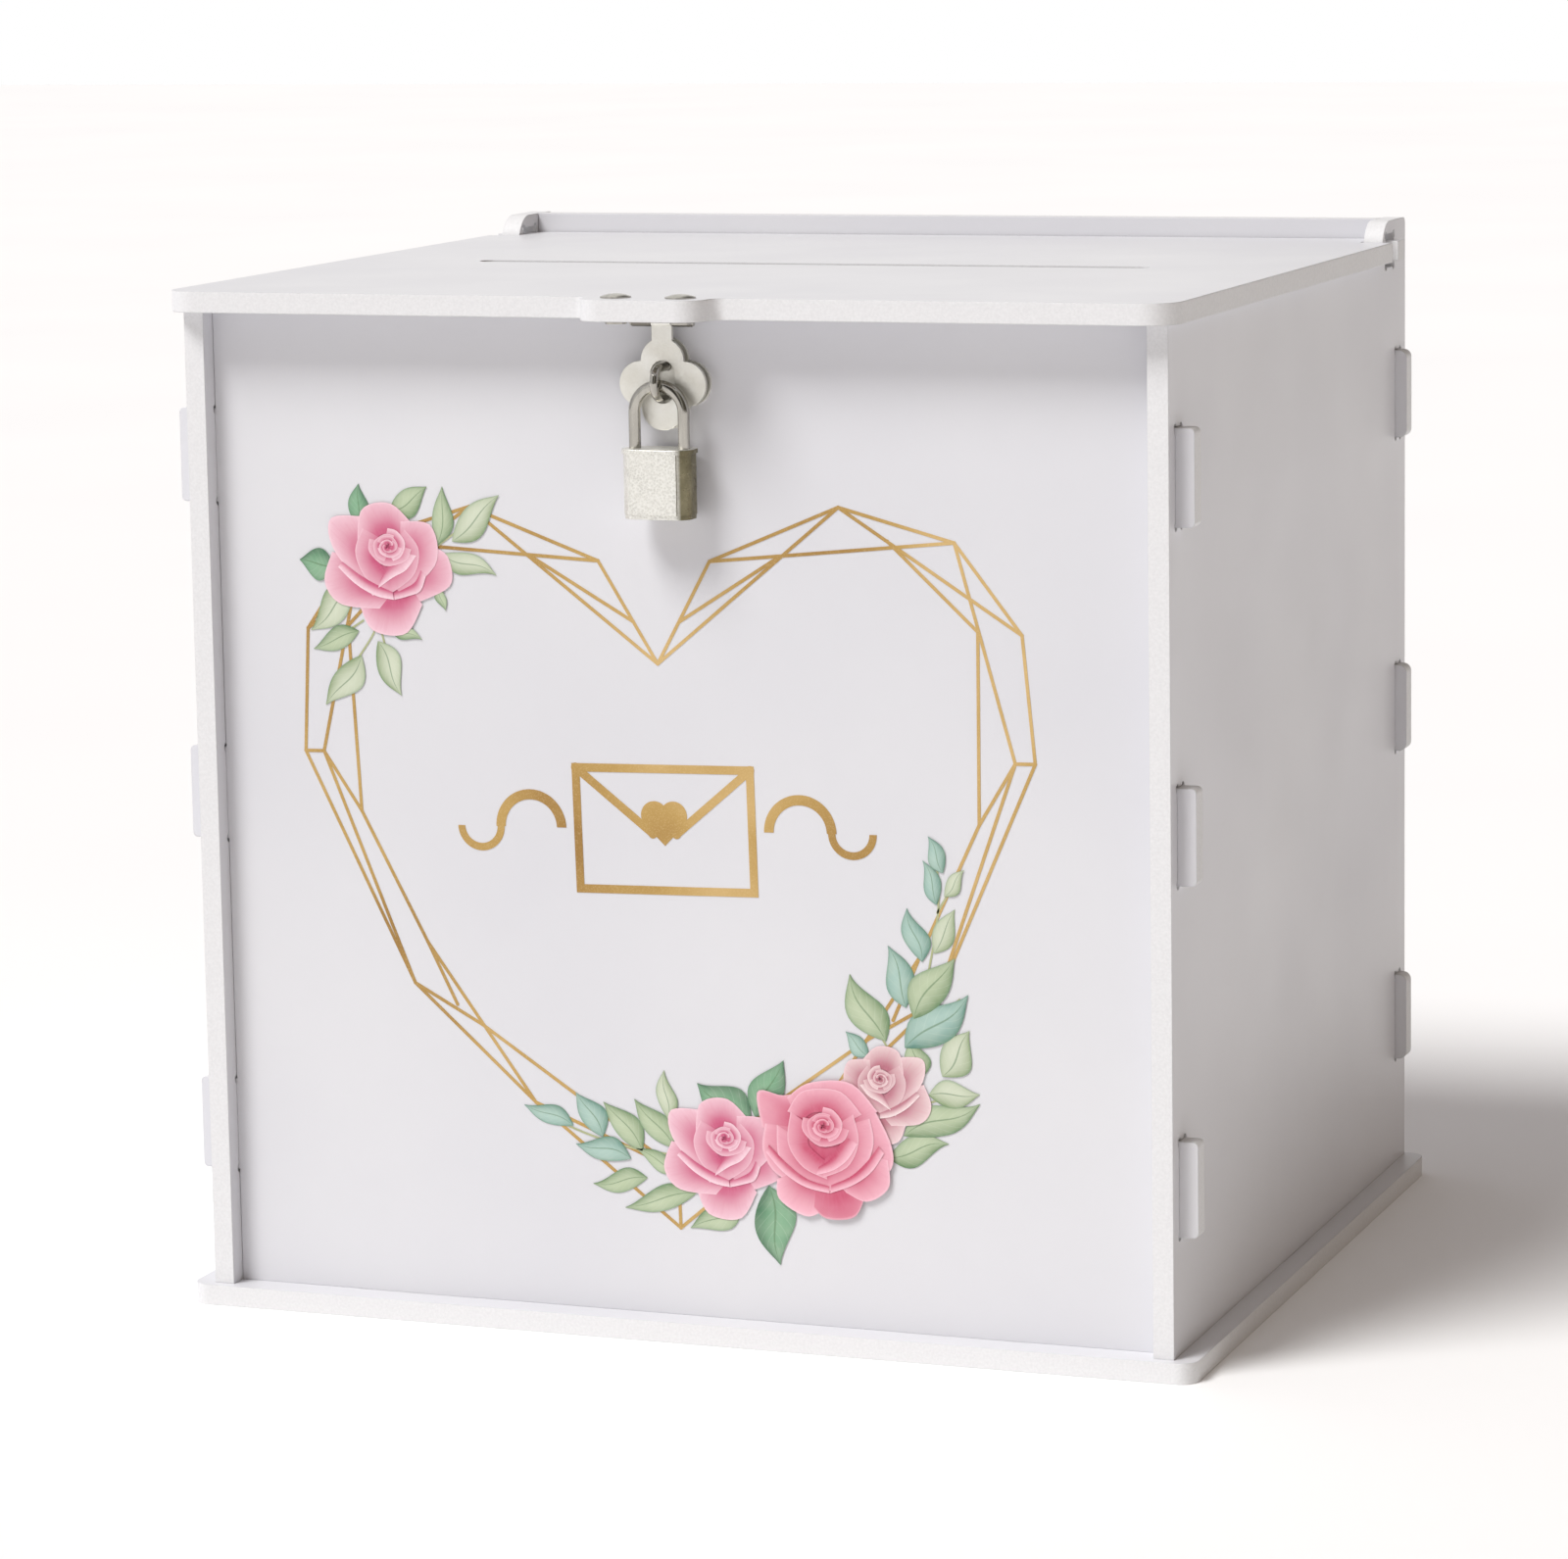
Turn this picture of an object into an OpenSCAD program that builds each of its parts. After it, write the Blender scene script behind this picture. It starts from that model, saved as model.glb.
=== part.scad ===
// Wedding card box: a flat-pack foam board box with a tab-hinged lid, a card
// slot, a hasp and a small padlock. The front panel carries a printed heart
// frame, roses, leaves and a gold envelope motif.
// Origin: middle of the box on its resting face. +X right, +Y back, +Z up.

/* [Box] */
// Width over the two side panels
box_w = 244; // [200:1:320]
// Depth of the side panels
box_d = 215; // [180:1:280]
// Height of the walls between base and lid
wall_h = 238; // [215:1:300]
// Thickness of every board
board = 5; // [4:0.5:6]
// How far the front panel sits behind the side panels' front edges
front_recess = 5; // [4:0.5:8]
// How far the back panel sits ahead of the side panels' rear edges
back_recess = 5; // [4:0.5:8]
// How far the base stands out at the sides
base_side_over = 5.5; // [3:0.5:8]
// How far the base stands out at the front
base_front_over = 2.5; // [1:0.5:6]
// How far the base stands out at the back
base_back_over = 1; // [0:0.5:4]
// How far the ears and the back panel stand above the lid
ear_rise = 5; // [4:0.5:8]

/* [Tabs] */
// Height of the tabs on the front and back panels
tab_h = 22.5; // [15:0.5:30]
// Distance between two tabs on one edge
tab_pitch = 82; // [70:1:90]
// How far the front panel's tabs stand out past the side panels
front_tab_out = 4.5; // [2:0.5:5]
// How far the back panel's tabs stand out past the side panels
back_tab_out = 3; // [2:0.5:5]
// Radius of the relief dots at the corners of each slot
relief_r = 1.15; // [1:0.1:1.6]
// Play of a tab in its slot, on each side
tab_play = 0.2; // [0.1:0.05:0.3]

/* [Lid] */
// How far the lid stands out at the sides
lid_side_over = 3; // [2:0.5:5]
// How far the lid stands out at the front
lid_front_over = 6; // [5:0.5:9]
// Radius of the lid's front corners
lid_corner_r = 8; // [4:1:12]
// Length of the card slot
slot_l = 176; // [150:1:200]
// Width of the card slot
slot_w = 5.5; // [5:0.5:8]
// Width of the tongue at the middle of the lid's front edge
tongue_w = 31; // [28:1:40]
// How far the tongue stands out
tongue_out = 9; // [8:0.5:12]

/* [Hasp] */
// Distance from the hasp's middle to the middle of each lobe
lobe_offset = 5.4; // [5:0.1:6]
// Radius of each lobe
lobe_r = 5.3; // [5:0.1:5.6]
// Thickness of the hasp leaf
leaf_t = 1; // [0.8:0.1:1.2]
// Width of the slot in the leaf
leaf_slot_w = 6; // [5:0.5:7]
// Height of the slot in the leaf
leaf_slot_h = 10; // [9.6:0.2:10.4]

/* [Padlock] */
// Width of the padlock case
lock_w = 16.8; // [16.4:0.2:18]
// Thickness of the padlock case
lock_t = 9; // [8.6:0.2:9.4]
// Height of the padlock case
lock_h = 16.2; // [16:0.2:17]
// Diameter of the shackle's wire
shackle_d = 2.8; // [2.6:0.1:2.8]
// Distance between the shackle's legs, centre to centre
shackle_pitch = 12.2; // [12:0.1:12.4]

/* [Print] */
// Width of the gold lines of the heart frame
line_w = 0.8; // [0.6:0.1:1.2]
// Sideways shift of the artwork on the panel
print_shift = -3; // [-6:0.5:6]
// Height of the heart's middle above the resting face
print_z = 110; // [105:1:115]
// Turn of the artwork on the panel, in degrees
print_tilt = 1.3; // [-2:0.1:2]

/* [Hidden] */
$fn = 48;

white = [0.95, 0.95, 0.96];
nickel = [0.86, 0.85, 0.80];
steel = [0.70, 0.70, 0.70];
brass = [0.80, 0.66, 0.36];
gold = [0.80, 0.60, 0.25];
pink = [0.93, 0.62, 0.72];
deep_pink = [0.88, 0.45, 0.56];
pale_pink = [0.93, 0.78, 0.78];
green = [0.55, 0.72, 0.56];

eps = 0.01;
half_w = box_w / 2;
half_d = box_d / 2;
inner_half = half_w - board;
wall_top = board + wall_h;
lid_top = wall_top + board;
ear_top = lid_top + ear_rise;
fit_gap = 0.1;

front_y = -half_d + front_recess;
back_y = half_d - back_recess - board;
tab_mid = wall_top / 2 + 4.5;
tab_levels = [tab_mid - tab_pitch, tab_mid, tab_mid + tab_pitch];

// Feet of the panels that stand in the base
foot_short = 0.2;
side_foot_l = 22;
side_foot_y = -2;
panel_foot_l = 30;
panel_foot_x = 70;

// The lid's hinge: a tab at each side turns in a square hole in the ear
hinge_tab_l = 6;
hinge_gap_back = 5.6;
hinge_y = back_y - 6;
hinge_z = wall_top + board / 2;
hinge_hole = 8.6;
ear_r = ear_top - hinge_z;
lid_wide_end = hinge_y - ear_r - 1.5;
lid_narrow_end = hinge_y + hinge_gap_back - 0.2;
lid_half_w = half_w + lid_side_over;
lid_front = -half_d - lid_front_over;
slot_y = -8;

tongue_front = lid_front - tongue_out;
tongue_corner_r = 6;
tongue_fillet_r = 3;
rivet_x = 8;
rivet_y = lid_front - 1;
rivet_r = 1.55;
rivet_head_r = 3.6;
rivet_head_h = 1;

// Hasp: the bracket under the tongue, the pin, and the leaf that hangs from it
bracket_t = 0.5;
bracket_front = tongue_front + 5;
bracket_half = 12;
knuckle_r = 1.05;
knuckle_half = 7.4;
knuckle_gap_half = 2.7;
leaf_neck_w = 5;
pin_r = 0.45;
pin_bore_r = 0.5;
pin_head_r = 0.85;
hasp_y = front_y - 3.4;
hasp_z = wall_top - knuckle_r - 0.2;
hasp_mid_z = wall_top - 15.6;

// Staple: a wire eye through a quatrefoil plate on the front panel
plate_t = 0.8;
plate_front = front_y - plate_t;
eye_r = 3.4;
eye_wire_r = 1;
eye_hole_r = 1.05;
eye_z = hasp_mid_z + 0.5;
eye_bend_y = front_y - 6;
washer_t = 0.8;
screw_x = 7.2;
screw_r = 0.85;
screw_hole_r = 0.9;

// Padlock: it hangs on the eye from the top of its shackle
shackle_r = shackle_d / 2;
arch_r = shackle_pitch / 2;
lock_y = front_y - 6.5;
lock_pivot_z = eye_z - 0.7;
arch_z = lock_pivot_z - arch_r;
lock_top = lock_pivot_z - 14.4;
lock_bottom = lock_top - lock_h;
cap_t = 1;
leg_bore_r = shackle_r + 0.05;
lock_corner_r = 3.5;
rim_out = 0.4;
face_w = 11.6;
face_out = 0.3;
rim_h = 1;
latch_t = 0.8;
latch_z = lock_top - 6.4;
latch_play = 0.05;
latch_half_w = 1.6;
latch_back_x = -1.4;
toe_shelf = 0.6;
toe_end = latch_z - latch_play - toe_shelf;
heel_end = lock_bottom + 3.6;
latch_bite = 1.1;
latch_tip_x = arch_r - shackle_r + latch_bite;
plug_r = 3;
plug_bore_r = 3.05;
plug_top = latch_z - 1.5;
cam_r = 0.6;
cam_offset = 0.8;
wafer_levels = [3, 4.4, 5.8];
wafer_t = 0.5;

// Print: thin films in front of the panel, one layer in front of the other
film_t = 0.1;

// ---------- outlines and helpers ----------

// Rectangle from (x0, y0) to (x1, y1) with four round corners
module soft_rect(x0, y0, x1, y1, r) {
  translate([x0 + r, y0])
    square([x1 - x0 - 2 * r, y1 - y0]);
  translate([x0, y0 + r])
    square([x1 - x0, y1 - y0 - 2 * r]);
  for (x = [x0 + r, x1 - r], y = [y0 + r, y1 - r])
    translate([x, y])
      circle(r);
}

// Rectangle about the origin with a relief dot at each corner
module relief_slot(w, h) {
  inset = 0.4;
  square([w, h], center = true);
  for (x = [-1, 1], y = [-1, 1])
    translate([x * (w / 2 - inset), y * (h / 2 - inset)])
      circle(relief_r);
}

// A straight slot with round ends, along X, about the origin
module round_slot(l, w) {
  square([l - w, w], center = true);
  for (x = [-1, 1])
    translate([x * (l - w) / 2, 0])
      circle(w / 2);
}

// Board lying in the X-Z plane: its front face is at y0
module facing_board(y0, t = board) {
  translate([0, y0 + t, 0])
    rotate([90, 0, 0])
      linear_extrude(t)
        children();
}

// Board lying in the Y-Z plane: its left face is at x0
module side_board(x0, t = board) {
  translate([x0, 0, 0])
    rotate([90, 0, 90])
      linear_extrude(t)
        children();
}

// Rod along Y from y0 to y1
module rod_y(x, z, r, y0, y1) {
  translate([x, y1, z])
    rotate([90, 0, 0])
      cylinder(r = r, h = y1 - y0);
}

// Rod along X from x0 to x1
module rod_x(y, z, r, x0, x1) {
  translate([x0, y, z])
    rotate([0, 90, 0])
      cylinder(r = r, h = x1 - x0);
}

// Rod along Z from z0 to z1
module rod_z(x, y, r, z0, z1) {
  translate([x, y, z0])
    cylinder(r = r, h = z1 - z0);
}

// Helical spring along Z from the origin, as one swept tube
module coil_spring(mean_r, wire_r, turns, length) {
  sides = 6;
  per_turn = 12;
  rings = turns * per_turn;
  climb = length - 2 * wire_r;
  points = [
    for (i = [0:rings], k = [0:sides - 1])
      let (a = 360 * i / per_turn, b = 360 * k / sides, r = mean_r + wire_r * cos(b))
        [r * cos(a), r * sin(a), wire_r + climb * i / rings + wire_r * sin(b)]
  ];
  walls = [
    for (i = [0:rings - 1], k = [0:sides - 1])
      let (n = (k + 1) % sides)
        [i * sides + k, (i + 1) * sides + k, (i + 1) * sides + n, i * sides + n]
  ];
  start = [[for (k = [0:sides - 1]) k]];
  end = [[for (k = [sides - 1:-1:0]) rings * sides + k]];
  polyhedron(points, concat(walls, start, end));
}

// ---------- boards ----------

module bottom_panel() {
  color(white)
    linear_extrude(board)
      difference() {
        soft_rect(
          -half_w - base_side_over, -half_d - base_front_over,
          half_w + base_side_over, half_d + base_back_over, 4.5
        );
        for (s = [-1, 1])
          translate([s * (half_w - board / 2), side_foot_y])
            square([board + 2 * fit_gap, side_foot_l + 2 * tab_play], center = true);
        for (s = [-1, 1], y = [front_y, back_y])
          translate([s * panel_foot_x, y + board / 2])
            square([panel_foot_l + 2 * tab_play, board + 2 * fit_gap], center = true);
      }
}

// Side panel outline in (y, z): wall, foot, and the ear above the lid
module side_outline() {
  difference() {
    union() {
      translate([-half_d, board])
        square([box_d, wall_h]);
      translate([side_foot_y - side_foot_l / 2, foot_short])
        square([side_foot_l, board]);
      ear_outline();
    }
    for (z = tab_levels, y = [front_y, back_y])
      translate([y + board / 2, z])
        relief_slot(board + 2 * fit_gap, tab_h + 2 * tab_play);
    translate([hinge_y, hinge_z])
      relief_slot(hinge_hole, hinge_hole);
  }
}

// Ear: its round front is concentric with the lid's hinge
module ear_outline() {
  rear_r = 2;
  translate([hinge_y - ear_r, wall_top - 1])
    square([half_d - hinge_y + ear_r, hinge_z - wall_top + 1]);
  translate([hinge_y, hinge_z])
    circle(ear_r);
  translate([hinge_y, hinge_z - 1])
    square([half_d - hinge_y, ear_r + 1 - rear_r]);
  translate([hinge_y, hinge_z - 1])
    square([half_d - hinge_y - rear_r, ear_r + 1]);
  translate([half_d - rear_r, ear_top - rear_r])
    circle(rear_r);
}

module left_side_panel() {
  color(white)
    side_board(-half_w)
      side_outline();
}

module right_side_panel() {
  color(white)
    side_board(inner_half)
      side_outline();
}

// Panel outline in (x, z) with three tabs at each side and two feet
module cross_outline(top, tab_out, tab_round) {
  translate([-inner_half + fit_gap, board])
    square([2 * (inner_half - fit_gap), top - board]);
  for (z = tab_levels)
    soft_rect(
      -half_w - tab_out, z - tab_h / 2, half_w + tab_out, z + tab_h / 2, tab_round
    );
  for (s = [-1, 1])
    translate([s * panel_foot_x - panel_foot_l / 2, foot_short])
      square([panel_foot_l, board]);
}

module front_panel() {
  color(white)
    difference() {
      facing_board(front_y)
        cross_outline(wall_top, front_tab_out, 1.2);
      for (s = [-1, 1]) {
        rod_y(0, eye_z + s * eye_r, 1.1, front_y - 1, front_y + board + 1);
        rod_y(s * screw_x, hasp_mid_z, screw_hole_r, front_y - 1, front_y + 4);
      }
    }
}

module back_panel() {
  color(white)
    facing_board(back_y)
      cross_outline(ear_top, back_tab_out, 2);
}

// ---------- lid ----------

module lid() {
  color(white)
    translate([0, 0, wall_top])
      linear_extrude(board)
        difference() {
          lid_outline();
          translate([0, slot_y])
            round_slot(slot_l, slot_w);
          for (s = [-1, 1])
            translate([s * rivet_x, rivet_y])
              circle(rivet_r + 0.05);
        }
}

module lid_outline() {
  soft_rect(-lid_half_w, lid_front, lid_half_w, lid_wide_end - 40, lid_corner_r);
  translate([-lid_half_w, lid_front + lid_corner_r])
    square([2 * lid_half_w, lid_wide_end - lid_front - lid_corner_r]);
  translate([-inner_half + 0.4, 0])
    square([2 * (inner_half - 0.4), lid_narrow_end]);
  translate([-lid_half_w, hinge_y - hinge_tab_l / 2])
    square([2 * lid_half_w, hinge_tab_l]);
  soft_rect(-tongue_w / 2, tongue_front, tongue_w / 2, lid_front + 20, tongue_corner_r);
  for (s = [-1, 1])
    difference() {
      x0 = s > 0 ? tongue_w / 2 - eps : -tongue_w / 2 - tongue_fillet_r;
      translate([x0, lid_front - tongue_fillet_r])
        square([tongue_fillet_r + eps, tongue_fillet_r + 1]);
      translate([s * (tongue_w / 2 + tongue_fillet_r), lid_front - tongue_fillet_r])
        circle(tongue_fillet_r);
    }
}

// Two domed rivets hold the tongue and the hasp bracket together
module tongue_rivets() {
  color(nickel)
    for (s = [-1, 1])
      translate([s * rivet_x, rivet_y, 0]) {
        translate([0, 0, lid_top])
          rivet_head();
        rod_z(0, 0, rivet_r, wall_top - bracket_t - 0.5, lid_top + eps);
        rod_z(0, 0, 2.5, wall_top - bracket_t - 0.5, wall_top - bracket_t);
      }
}

// Low dome: the cap of a large ball, cut at the head's rim
module rivet_head() {
  rim = 0.3;
  rise = rivet_head_h - rim;
  ball_r = (rivet_head_r * rivet_head_r + rise * rise) / (2 * rise);
  cylinder(r = rivet_head_r, h = rim);
  rotate_extrude()
    intersection() {
      translate([0, rivet_head_h - ball_r])
        circle(ball_r, $fn = 96);
      translate([0, rim - eps])
        square([rivet_head_r, rivet_head_h]);
    }
}

// ---------- hasp ----------

module hasp_bracket() {
  color(nickel)
    difference() {
      union() {
        translate([0, 0, wall_top - bracket_t])
          linear_extrude(bracket_t)
            soft_rect(-bracket_half, bracket_front, bracket_half, hasp_y - 2.6, 3);
        translate([-knuckle_half, hasp_y - 4, wall_top - bracket_t])
          cube([2 * knuckle_half, 4, bracket_t - 0.1]);
        for (s = [-1, 1])
          rod_x(
            hasp_y, hasp_z, knuckle_r,
            s > 0 ? knuckle_gap_half : -knuckle_half,
            s > 0 ? knuckle_half : -knuckle_gap_half
          );
      }
      rod_x(hasp_y, hasp_z, pin_bore_r, -knuckle_half - 1, knuckle_half + 1);
      translate([-knuckle_gap_half, hasp_y - 2, hasp_z - 3])
        cube([2 * knuckle_gap_half, 4, 6]);
      for (s = [-1, 1])
        rod_z(s * rivet_x, rivet_y, rivet_r + 0.05, hasp_z - 3, wall_top + 1);
    }
}

module hasp_pin() {
  color(steel) {
    rod_x(hasp_y, hasp_z, pin_r, -knuckle_half - 0.4, knuckle_half + 0.4);
    for (s = [-1, 1])
      rod_x(
        hasp_y, hasp_z, pin_head_r,
        s > 0 ? knuckle_half + 0.05 : -knuckle_half - 0.45,
        s > 0 ? knuckle_half + 0.45 : -knuckle_half - 0.05
      );
  }
}

// Four round lobes about (0, hasp_mid_z)
module quatrefoil() {
  translate([0, hasp_mid_z]) {
    square(2 * lobe_offset, center = true);
    for (a = [0:90:270])
      rotate(a)
        translate([lobe_offset, 0])
          circle(lobe_r);
  }
}

module hasp_leaf() {
  color(nickel)
    difference() {
      union() {
        facing_board(hasp_y - leaf_t / 2, leaf_t)
          union() {
            quatrefoil();
            translate([-leaf_neck_w / 2, hasp_mid_z])
              square([leaf_neck_w, hasp_z - hasp_mid_z]);
          }
        rod_x(hasp_y, hasp_z, knuckle_r, -leaf_neck_w / 2, leaf_neck_w / 2);
      }
      rod_x(hasp_y, hasp_z, pin_bore_r, -leaf_neck_w, leaf_neck_w);
      facing_board(hasp_y - leaf_t, 2 * leaf_t)
        translate([0, eye_z])
          rotate(90)
            round_slot(leaf_slot_h, leaf_slot_w);
    }
}

// ---------- staple ----------

module staple_plate() {
  color(nickel)
    difference() {
      facing_board(plate_front, plate_t)
        quatrefoil();
      for (s = [-1, 1]) {
        rod_y(0, eye_z + s * eye_r, eye_hole_r, front_y - 3, front_y + 1);
        rod_y(s * screw_x, hasp_mid_z, screw_hole_r, front_y - 3, front_y + 1);
      }
    }
}

// Wire eye: two legs through plate, panel and washer, peened behind
module staple_eye() {
  tail_y = front_y + board + washer_t;
  color(steel) {
    for (s = [-1, 1]) {
      rod_y(0, eye_z + s * eye_r, eye_wire_r, eye_bend_y, tail_y + 0.8);
      rod_y(0, eye_z + s * eye_r, 1.7, tail_y, tail_y + 0.8);
    }
    translate([0, eye_bend_y, eye_z])
      rotate([0, 90, 0])
        rotate([0, 0, 180])
          rotate_extrude(angle = 180)
            translate([eye_r, 0])
              circle(eye_wire_r);
  }
}

module staple_washer() {
  color(steel)
    difference() {
      facing_board(front_y + board, washer_t)
        translate([0, eye_z])
          soft_rect(-4, -7, 4, 7, 2);
      for (s = [-1, 1])
        rod_y(0, eye_z + s * eye_r, eye_hole_r, front_y, front_y + board + 3);
    }
}

module staple_screws() {
  color(steel)
    for (s = [-1, 1])
      difference() {
        union() {
          rod_y(s * screw_x, hasp_mid_z, 1.6, plate_front - 0.8, plate_front);
          rod_y(s * screw_x, hasp_mid_z, screw_r, plate_front - eps, front_y + 3.8);
        }
        translate([s * screw_x - 1.2, plate_front - 1, hasp_mid_z - 0.2])
          cube([2.4, 0.5, 0.4]);
      }
}

// ---------- padlock ----------

module lock_section(grow = 0) {
  translate([0, lock_y])
    soft_rect(
      -lock_w / 2 - grow, -lock_t / 2 - grow,
      lock_w / 2 + grow, lock_t / 2 + grow, lock_corner_r + grow
    );
}

// Shackle: long heel leg at the left, notched toe leg at the right
module padlock_shackle() {
  color(steel)
    difference() {
      union() {
        rod_z(-arch_r, lock_y, shackle_r, heel_end, arch_z);
        rod_z(arch_r, lock_y, shackle_r, toe_end, arch_z);
        translate([0, lock_y, arch_z])
          rotate([90, 0, 0])
            rotate_extrude(angle = 180)
              translate([arch_r, 0])
                circle(shackle_r);
      }
      translate([arch_r - shackle_r - 1, lock_y - 2, latch_z - latch_play])
        cube([1 + latch_bite + 0.1, 4, latch_t + 2 * latch_play]);
    }
}

module padlock_case() {
  color(nickel)
    difference() {
      union() {
        translate([0, 0, lock_bottom + cap_t])
          linear_extrude(lock_h - cap_t)
            lock_section();
        translate([0, 0, lock_top - rim_h])
          linear_extrude(rim_h)
            lock_section(rim_out);
        translate([-face_w / 2, lock_y - lock_t / 2 - face_out, lock_bottom + cap_t])
          cube([face_w, face_out + 1, lock_h - cap_t - rim_h / 2]);
      }
      rod_z(-arch_r, lock_y, leg_bore_r, lock_bottom + 2, lock_top + 1);
      rod_z(arch_r, lock_y, leg_bore_r, toe_end - 1, lock_top + 1);
      rod_z(0, lock_y, plug_bore_r, lock_bottom, plug_top + 0.1);
      rod_z(0, lock_y, 2.2, plug_top, latch_z - 0.1);
      rod_z(0, lock_y, 3.75, lock_bottom, lock_bottom + cap_t + 0.7);
      translate([-4.3, lock_y - latch_half_w - 0.1, latch_z - 0.1])
        cube([4.3 + arch_r - 0.1, 2 * latch_half_w + 0.4, latch_t + 0.2]);
    }
}

module padlock_end_cap() {
  color(nickel)
    difference() {
      translate([0, 0, lock_bottom])
        linear_extrude(cap_t)
          lock_section(-0.15);
      rod_z(0, lock_y, plug_bore_r, lock_bottom - 1, lock_bottom + cap_t + 1);
    }
}

// Latch: the plug's cam pin draws it out of the notch in the toe leg
module padlock_latch() {
  color(brass)
    difference() {
      translate([latch_back_x, lock_y - latch_half_w, latch_z])
        cube([latch_tip_x - latch_back_x, 2 * latch_half_w, latch_t]);
      translate([cam_offset - cam_r - 0.1, lock_y + 0.1, latch_z - 1])
        cube([2 * cam_r + 0.2, 4, 3]);
    }
}

module shackle_spring() {
  color(steel)
    translate([-arch_r, lock_y, lock_bottom + 2])
      coil_spring(1, 0.2, 2.5, heel_end - lock_bottom - 2.1);
}

module key_plug() {
  color(brass)
    difference() {
      union() {
        rod_z(0, lock_y, plug_r, lock_bottom, plug_top);
        rod_z(cam_offset, lock_y + cam_offset, cam_r, plug_top - eps, latch_z + latch_t - 0.1);
      }
      translate([-0.5, lock_y - 2, lock_bottom - 1])
        cube([1, 3.2, plug_top - lock_bottom]);
      for (z = wafer_levels)
        translate([-1.1, lock_y - 4, lock_bottom + z - 0.05])
          cube([2.2, 8, wafer_t + 0.1]);
      difference() {
        rod_z(0, lock_y, plug_r + 1, lock_bottom + cap_t + 0.05, lock_bottom + cap_t + 0.65);
        rod_z(0, lock_y, 2.35, lock_bottom + cap_t, lock_bottom + cap_t + 0.7);
      }
    }
}

// Three wafers with a window each for the key
module plug_wafers() {
  color(brass)
    for (z = wafer_levels)
      translate([0, lock_y, lock_bottom + z])
        linear_extrude(wafer_t)
          difference() {
            square([2, 5.4], center = true);
            translate([0, -0.4])
              square([1.1, 3.4], center = true);
          }
}

// Split ring in the plug's groove, held between case and end cap
module plug_clip() {
  color(steel)
    translate([0, lock_y, lock_bottom + cap_t + 0.1])
      linear_extrude(0.5)
        difference() {
          circle(3.65);
          circle(2.4);
          translate([-0.9, 0])
            square([1.8, 5]);
        }
}

// ---------- print ----------

// Places flat artwork on the front panel, in layers counted from the panel
module on_panel(layer) {
  translate([print_shift, front_y - film_t * layer, print_z])
    rotate([90, 0, 0])
      rotate(print_tilt)
        linear_extrude(film_t)
          children();
}

// Straight line of width w between two points, with a fine dot at each end
module stroke(p, q, w) {
  d = q - p;
  dot_r = 0.56 * w;
  translate(p)
    rotate(atan2(d[1], d[0]))
      translate([0, -w / 2])
        square([norm(d), w]);
  for (end = [p, q])
    translate(end)
      circle(dot_r, $fn = 24);
}

// Corners of the heart frame's right half, from the dip round to the tip
dip = [0, 51.4];
dip_side = [5.9, 61.4];
brow = [14, 75.6];
crossing = [30.4, 76.2];
crown = [46.3, 88.3];
crown_side = [58, 80.5];
shoulder = [74.2, 80.2];
shoulder_in = [79.2, 59.7];
shoulder_out = [89.8, 59];
cheek_out = [92, 29.3];
cheek_in = [87.2, 29.3];
cheek_low = [78, 14.9];
side_in = [62.3, -16.6];
side_out = [66.1, -26.7];
side_mid = [55.3, -31.6];
jaw = [48.9, -36.4];
jaw_low = [36, -54.8];
tip_top = [0, -70];
tip = [0, -83.8];

frame_lines = [
  [dip, brow], [brow, crown], [crown, shoulder], [shoulder, shoulder_out],
  [shoulder_out, cheek_out], [cheek_out, cheek_in], [dip, crown], [brow, shoulder],
  [dip_side, crossing], [crown, shoulder_out], [crown_side, shoulder_in],
  [shoulder, cheek_in], [shoulder_in, cheek_low], [cheek_in, cheek_low],
  [cheek_low, side_in], [cheek_out, side_out], [cheek_in, side_out],
  [side_in, side_mid], [side_out, jaw], [side_in, jaw_low], [side_out, jaw_low],
  [jaw, tip_top], [jaw_low, tip_top], [jaw_low, tip], [tip_top, tip]
];

module heart_print() {
  color(gold)
    on_panel(0)
      for (s = [-1, 1], line = frame_lines)
        stroke([s * line[0][0], line[0][1]], [s * line[1][0], line[1][1]], line_w);
}

// Envelope with a heart seal between two scrolls
module envelope_print() {
  envelope_w = 46;
  envelope_h = 31;
  middle = [0, 12];
  edge = 2;
  color(gold)
    on_panel(0)
      translate(middle) {
        difference() {
          square([envelope_w, envelope_h], center = true);
          square([envelope_w - 2 * edge, envelope_h - 2 * edge], center = true);
        }
        for (s = [-1, 1]) {
          stroke([s * (envelope_w / 2 - 1), envelope_h / 2 - 1], [s * 3, -1], edge);
          scroll(s);
        }
        translate([0, 1])
          small_heart(3.4);
      }
}

// Small heart: two round lobes on a square that stands on its corner
module small_heart(r) {
  rotate(45)
    translate([-r, -r])
      square(2 * r);
  for (s = [-1, 1])
    translate([s * r / sqrt(2), r / sqrt(2)])
      circle(r);
}

// Scroll beside the envelope: two half rings of different size
module scroll(s) {
  translate([s * 34, 0])
    half_ring(9, 2.4, 1);
  translate([s * 46.9, 0])
    half_ring(6, 1.8, -1);
}

module half_ring(r, w, side) {
  intersection() {
    difference() {
      circle(r);
      circle(r - w);
    }
    translate([-r - 1, side > 0 ? 0 : -r - 1])
      square([2 * r + 2, r + 1]);
  }
}

// Leaf outline from base to tip: the overlap of two equal circles
module leaf(base, end, breadth) {
  d = end - base;
  l = norm(d);
  r = (l * l / 4 + breadth * breadth / 4) / breadth;
  translate((base + end) / 2)
    rotate(atan2(d[1], d[0]))
      intersection_for(s = [-1, 1])
        translate([0, s * (r - breadth / 2)])
          circle(r);
}

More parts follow.
